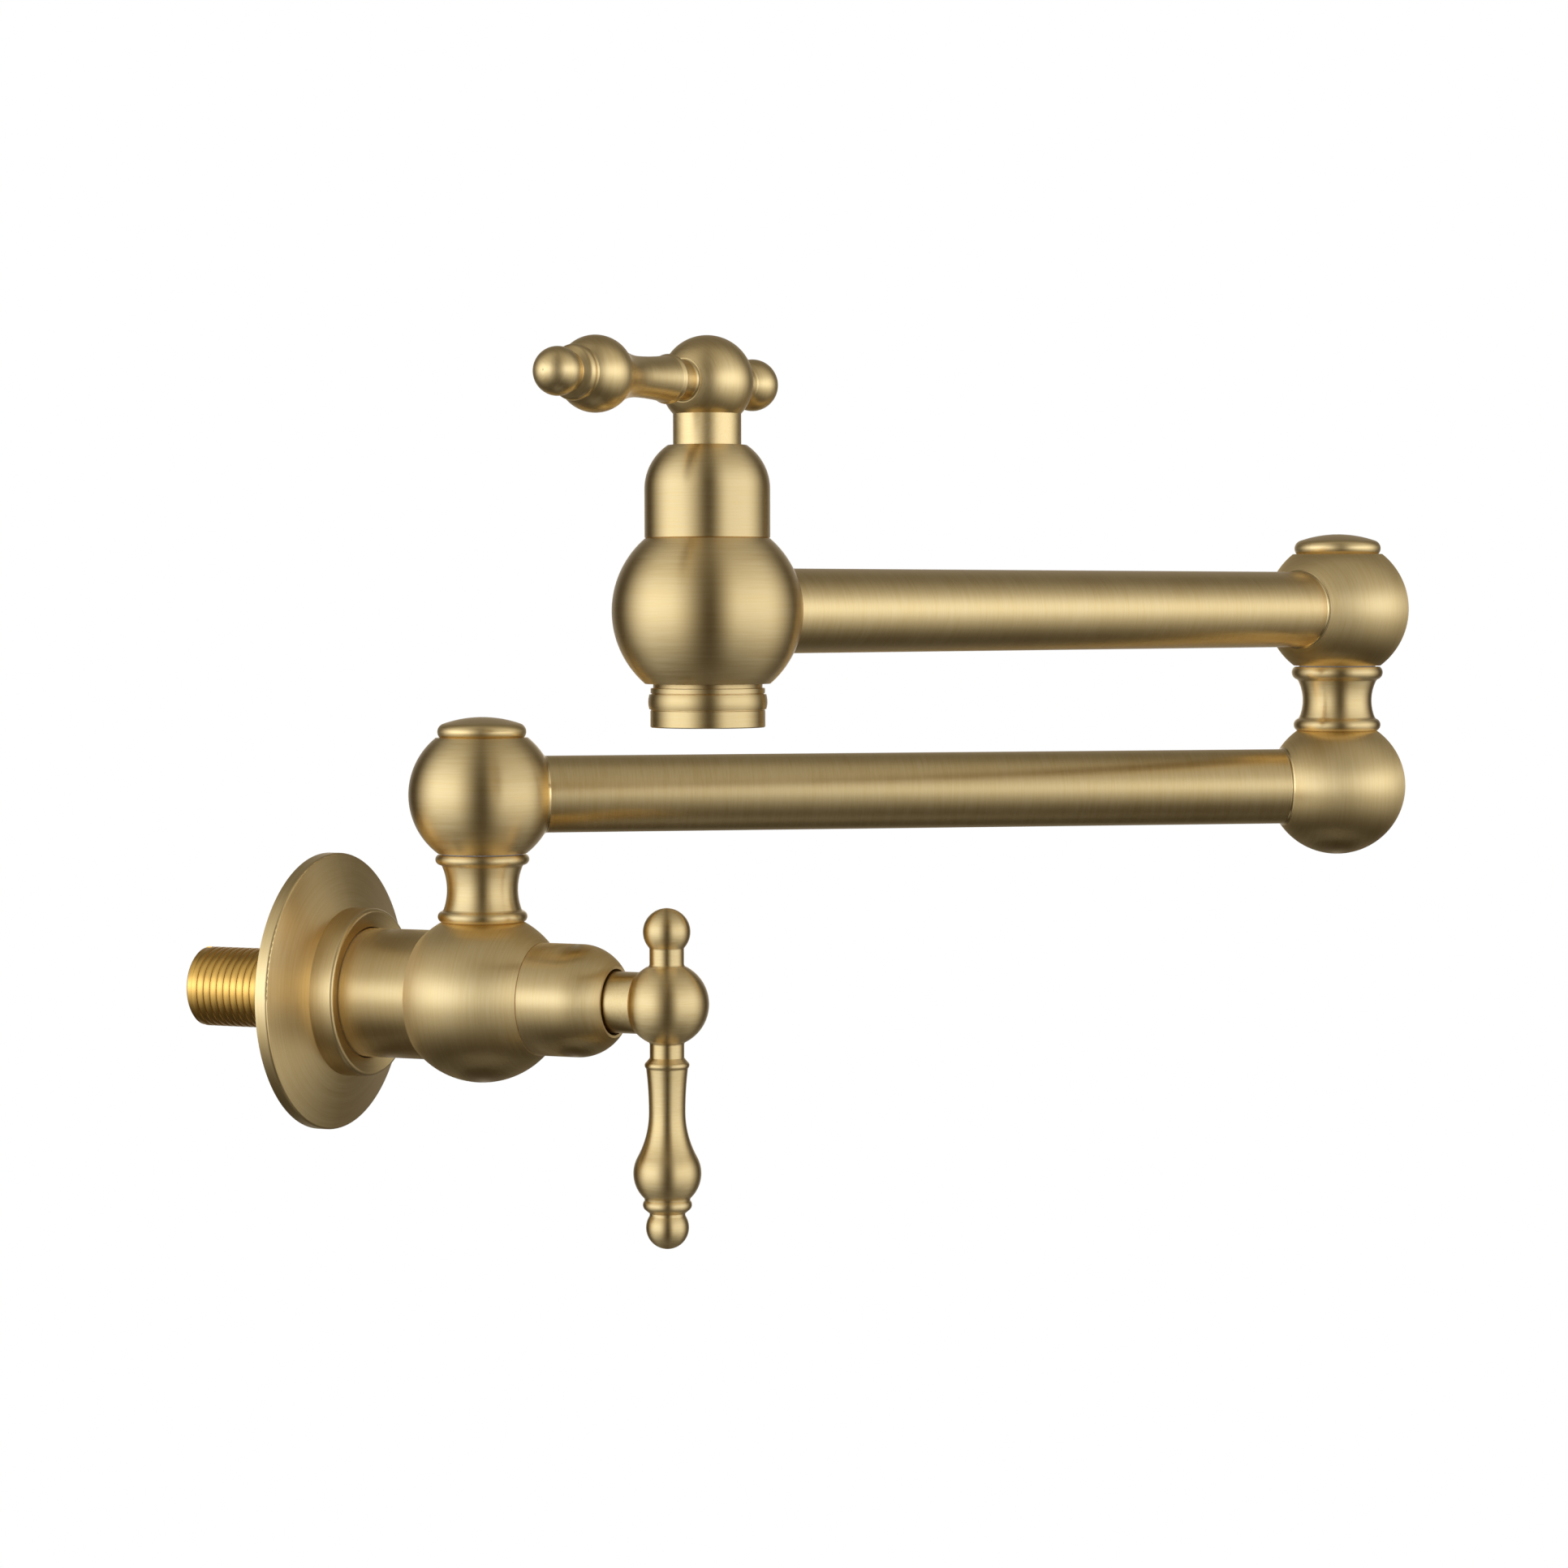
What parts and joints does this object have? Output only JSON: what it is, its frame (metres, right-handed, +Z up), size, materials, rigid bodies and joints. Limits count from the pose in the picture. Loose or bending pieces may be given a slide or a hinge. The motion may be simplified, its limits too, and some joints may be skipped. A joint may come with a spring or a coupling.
{
  "type": "wall mounted pot filler",
  "caption": "Folding wall mounted pot filler with jointed swing arms and lever valves at the wall and over the aerated outlet, in brushed gold brass.",
  "frame": {"origin": "centre of the wall flange's back face, on the axis of the inlet thread", "axes": "+X along the wall to the right as seen from the front, +Y into the wall along the inlet, +Z up"},
  "size_m": [0.2663, 0.2625, 0.2036],
  "materials": {
    "brushed_gold": "brushed champagne gold",
    "raw_brass": "bright machined brass",
    "rubber": "matte black",
    "ceramic": "polished white ceramic",
    "slip_plastic": "off-white moulded plastic",
    "steel": "stainless steel"
  },
  "bodies": {
    "wall_body": {"inlet_nipple": "raw_brass", "nipple_washer": "slip_plastic", "inlet_neck": "brushed_gold", "wall_flange": "brushed_gold", "wall_gasket": "rubber", "flange_o_ring": "rubber", "valve_body": "brushed_gold", "valve_cartridge_seal": "rubber", "valve_fixed_disc": "ceramic", "valve_cartridge_sleeve": "raw_brass", "valve_bonnet": "brushed_gold", "riser_post": "brushed_gold", "riser_o_rings": "rubber", "riser_thrust_washer": "slip_plastic", "riser_nut": "raw_brass"},
    "lower_arm": {"lower_swivel_ball": "brushed_gold", "lower_swivel_cap": "brushed_gold", "lower_arm_tube": "brushed_gold", "elbow_base_ball": "brushed_gold", "elbow_post": "brushed_gold", "elbow_o_rings": "rubber", "elbow_thrust_washer": "slip_plastic", "elbow_nut": "raw_brass"},
    "upper_arm": {"upper_swivel_ball": "brushed_gold", "upper_swivel_cap": "brushed_gold", "upper_arm_tube": "brushed_gold", "outlet_body": "brushed_gold", "outlet_cartridge_seal": "rubber", "outlet_fixed_disc": "ceramic", "outlet_cartridge_sleeve": "raw_brass", "outlet_bonnet": "brushed_gold", "aerator_housing": "brushed_gold", "aerator_washer": "rubber", "aerator_core": "slip_plastic", "aerator_screen": "steel"},
    "inlet_handle": {"valve_moving_disc": "ceramic", "valve_spindle": "raw_brass", "valve_spindle_o_ring": "rubber", "valve_handle_hub": "brushed_gold", "valve_lever": "brushed_gold", "valve_lever_finial": "brushed_gold", "valve_handle_screw": "steel"},
    "outlet_handle": {"outlet_moving_disc": "ceramic", "outlet_spindle": "raw_brass", "outlet_spindle_o_ring": "rubber", "outlet_handle_hub": "brushed_gold", "outlet_lever": "brushed_gold", "outlet_lever_finial": "brushed_gold", "outlet_handle_screw": "steel"}
  },
  "joints": [
    {"name": "lower_arm_swing", "type": "hinge", "parent": "wall_body", "child": "lower_arm", "pos_m": [0, -0.042, 0.04722], "axis": [0, 0, 1], "range_deg": [-125.4, 54.6]},
    {"name": "elbow_swing", "type": "hinge", "parent": "lower_arm", "child": "upper_arm", "pos_m": [0.12084, -0.21204, 0.09], "axis": [0, 0, 1], "continuous": true},
    {"name": "inlet_handle_turn", "type": "hinge", "parent": "wall_body", "child": "inlet_handle", "pos_m": [0, -0.0896, 0], "axis": [0, -1, 0], "range_deg": [0, 90]},
    {"name": "outlet_handle_turn", "type": "hinge", "parent": "upper_arm", "child": "outlet_handle", "pos_m": [-0.07271, -0.13423, 0.1376], "axis": [0, 0, 1], "range_deg": [0, 90]}
  ]
}
